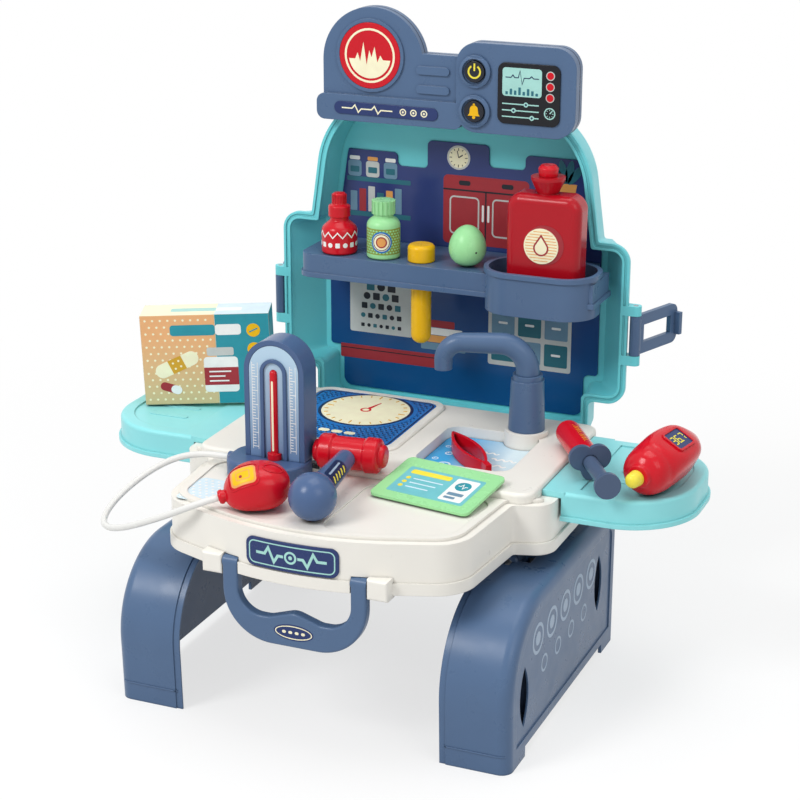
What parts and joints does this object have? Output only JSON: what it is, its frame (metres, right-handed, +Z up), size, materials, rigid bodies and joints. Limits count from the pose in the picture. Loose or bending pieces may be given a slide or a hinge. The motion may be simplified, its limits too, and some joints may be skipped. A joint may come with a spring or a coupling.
{
  "type": "toy doctor backpack play table",
  "caption": "Toy doctor's case opened out as a play table on folding leg shells, with side trays, upright back tray, shelf, sign, faucet and a set of doctor's tools.",
  "frame": {"origin": "centre of the base below the object's box, on the floor that the leg shells stand on", "axes": "+X to the right as seen from the handle's side, +Y from the handle to the back tray, +Z up"},
  "size_m": [0.4864, 0.3603, 0.494],
  "materials": {
    "white_shell": "moulded satin",
    "slate_shell": "moulded satin",
    "teal_shell": "moulded satin",
    "pale_teal": "moulded satin",
    "red_plastic": "moulded gloss",
    "green_plastic": "moulded gloss",
    "yellow_plastic": "moulded gloss",
    "navy_plastic": "moulded gloss",
    "black_plastic": "smooth",
    "printed_sheet": "printed film",
    "printed_board": "printed board",
    "printed_carton": "printed carton",
    "pin_steel": "drawn wire",
    "circuit": "circuit board",
    "cell_steel": "wrapped cell",
    "hose_vinyl": "soft vinyl"
  },
  "bodies": {
    "table": {"table_top": "white_shell", "table_base": "white_shell", "table_screws": "pin_steel", "leg_pins": "pin_steel", "handle_pins": "pin_steel", "front_badge": "navy_plastic", "scale_plate": "printed_sheet", "water_sheet": "printed_sheet", "faucet_column": "slate_shell", "panel_pins": "pin_steel"},
    "right_leg": {"leg_right": "slate_shell"},
    "left_leg": {"leg_left": "slate_shell"},
    "carry_handle": {"handle": "slate_shell"},
    "spout": {"faucet_spout": "slate_shell"},
    "right_wing": {"wing_right": "pale_teal"},
    "left_wing": {"wing_left": "pale_teal"},
    "back_panel": {"panel_shell": "teal_shell", "art_board": "printed_board", "shelf": "slate_shell", "latch_pins": "pin_steel"},
    "right_latch": {"latch_right": "slate_shell"},
    "left_latch": {"latch_left": "slate_shell"},
    "sign": {"sign_front": "slate_shell", "sign_back": "slate_shell", "sign_disc": "red_plastic", "sign_strip": "navy_plastic", "monitor_screen": "black_plastic", "sound_board": "circuit", "speaker": "black_plastic", "battery_cells": "cell_steel"},
    "power": {"power_button": "navy_plastic"},
    "bell": {"bell_button": "navy_plastic"},
    "cuff_gauge": {"gauge_base": "slate_shell", "gauge_tower": "slate_shell", "gauge_scale": "white_shell", "gauge_column": "red_plastic", "air_hose": "hose_vinyl", "squeeze_bulb": "red_plastic"},
    "hammer": {"hammer_handle": "slate_shell", "hammer_head": "red_plastic"},
    "tweezer": {"tweezers": "red_plastic"},
    "card": {"id_card": "green_plastic"},
    "syringe": {"syringe_barrel": "red_plastic", "syringe_flange": "slate_shell"},
    "plunger": {"syringe_plunger": "slate_shell"},
    "thermometer": {"thermometer_body": "red_plastic", "thermometer_display": "navy_plastic", "thermometer_tip": "yellow_plastic"},
    "box_carton": {"carton": "printed_carton"},
    "bottle_red": {"red_bottle": "red_plastic", "red_cap": "red_plastic"},
    "bottle_green": {"green_bottle": "green_plastic", "green_cap": "green_plastic"},
    "tube": {"test_tube": "yellow_plastic", "tube_cap": "yellow_plastic"},
    "egg": {"toy_egg": "green_plastic"},
    "water_bag": {"hot_water_bag": "red_plastic", "bag_stopper": "red_plastic", "bag_badge": "printed_sheet"}
  },
  "joints": [
    {"name": "leg_right_fold", "type": "hinge", "parent": "table", "child": "right_leg", "pos_m": [0.11725, -0.02605, 0.11695], "axis": [0, 1, 0], "range_deg": [0, 90]},
    {"name": "leg_left_fold", "type": "hinge", "parent": "table", "child": "left_leg", "pos_m": [-0.11725, -0.02605, 0.11695], "axis": [0, -1, 0], "range_deg": [0, 90]},
    {"name": "handle_swing", "type": "hinge", "parent": "table", "child": "carry_handle", "pos_m": [0, -0.17155, 0.138], "axis": [-1, 0, 0], "range_deg": [0, 90]},
    {"name": "panel_tilt", "type": "hinge", "parent": "table", "child": "back_panel", "pos_m": [0, 0.11595, 0.1605], "axis": [1, 0, 0], "range_deg": [0, 9]},
    {"name": "latch_right_swing", "type": "hinge", "parent": "back_panel", "child": "right_latch", "pos_m": [0.1555, 0.12875, 0.2465], "axis": [0, 0, 1], "range_deg": [-150, 15]},
    {"name": "latch_left_swing", "type": "hinge", "parent": "back_panel", "child": "left_latch", "pos_m": [-0.1555, 0.12875, 0.2465], "axis": [0, 0, -1], "range_deg": [-150, 15]},
    {"name": "spout_swivel", "type": "hinge", "parent": "table", "child": "spout", "pos_m": [0.089, 0.06395, 0.2255], "axis": [0, 0, 1], "range_deg": [-60, 90]},
    {"name": "power_press", "type": "slide", "parent": "sign", "child": "power", "axis": [0, 1, 0], "range_m": [0, 0.002], "stiffness_N_per_m": 600},
    {"name": "bell_press", "type": "slide", "parent": "sign", "child": "bell", "axis": [0, 1, 0], "range_m": [0, 0.002], "stiffness_N_per_m": 600},
    {"name": "plunger_push", "type": "slide", "parent": "syringe", "child": "plunger", "axis": [-0.5358, 0.8443, 0], "range_m": [-0.005, 0.045]},
    {"name": "sign_lift", "type": "slide", "parent": "back_panel", "child": "sign", "axis": [0, 0, 1], "range_m": [0, 0.03]},
    {"name": "wing_right_lift", "type": "slide", "parent": "table", "child": "right_wing", "axis": [0, 0, 1], "range_m": [0, 0.02]},
    {"name": "wing_left_lift", "type": "slide", "parent": "table", "child": "left_wing", "axis": [0, 0, 1], "range_m": [0, 0.02]},
    {"name": "gauge_lift", "type": "slide", "parent": "table", "child": "cuff_gauge", "axis": [0, 0, 1], "range_m": [0, 0.08]},
    {"name": "hammer_lift", "type": "slide", "parent": "table", "child": "hammer", "axis": [0, 0, 1], "range_m": [0, 0.08]},
    {"name": "tweezers_lift", "type": "slide", "parent": "table", "child": "tweezer", "axis": [0, 0, 1], "range_m": [0, 0.04]},
    {"name": "card_lift", "type": "slide", "parent": "table", "child": "card", "axis": [0, 0, 1], "range_m": [0, 0.08]},
    {"name": "carton_lift", "type": "slide", "parent": "left_wing", "child": "box_carton", "axis": [0, 0, 1], "range_m": [0, 0.08]},
    {"name": "syringe_lift", "type": "slide", "parent": "right_wing", "child": "syringe", "axis": [0, 0, 1], "range_m": [0, 0.035]},
    {"name": "thermometer_lift", "type": "slide", "parent": "right_wing", "child": "thermometer", "axis": [0, 0, 1], "range_m": [0, 0.08]},
    {"name": "red_bottle_lift", "type": "slide", "parent": "back_panel", "child": "bottle_red", "axis": [0, 0, 1], "range_m": [0, 0.05]},
    {"name": "green_bottle_lift", "type": "slide", "parent": "back_panel", "child": "bottle_green", "axis": [0, 0, 1], "range_m": [0, 0.05]},
    {"name": "tube_lift", "type": "slide", "parent": "back_panel", "child": "tube", "axis": [0, 0, 1], "range_m": [0, 0.075]},
    {"name": "egg_lift", "type": "slide", "parent": "back_panel", "child": "egg", "axis": [0, 0, 1], "range_m": [0, 0.05]},
    {"name": "bag_lift", "type": "slide", "parent": "back_panel", "child": "water_bag", "axis": [0, -0.2873, 0.9578], "range_m": [0, 0.06]}
  ]
}
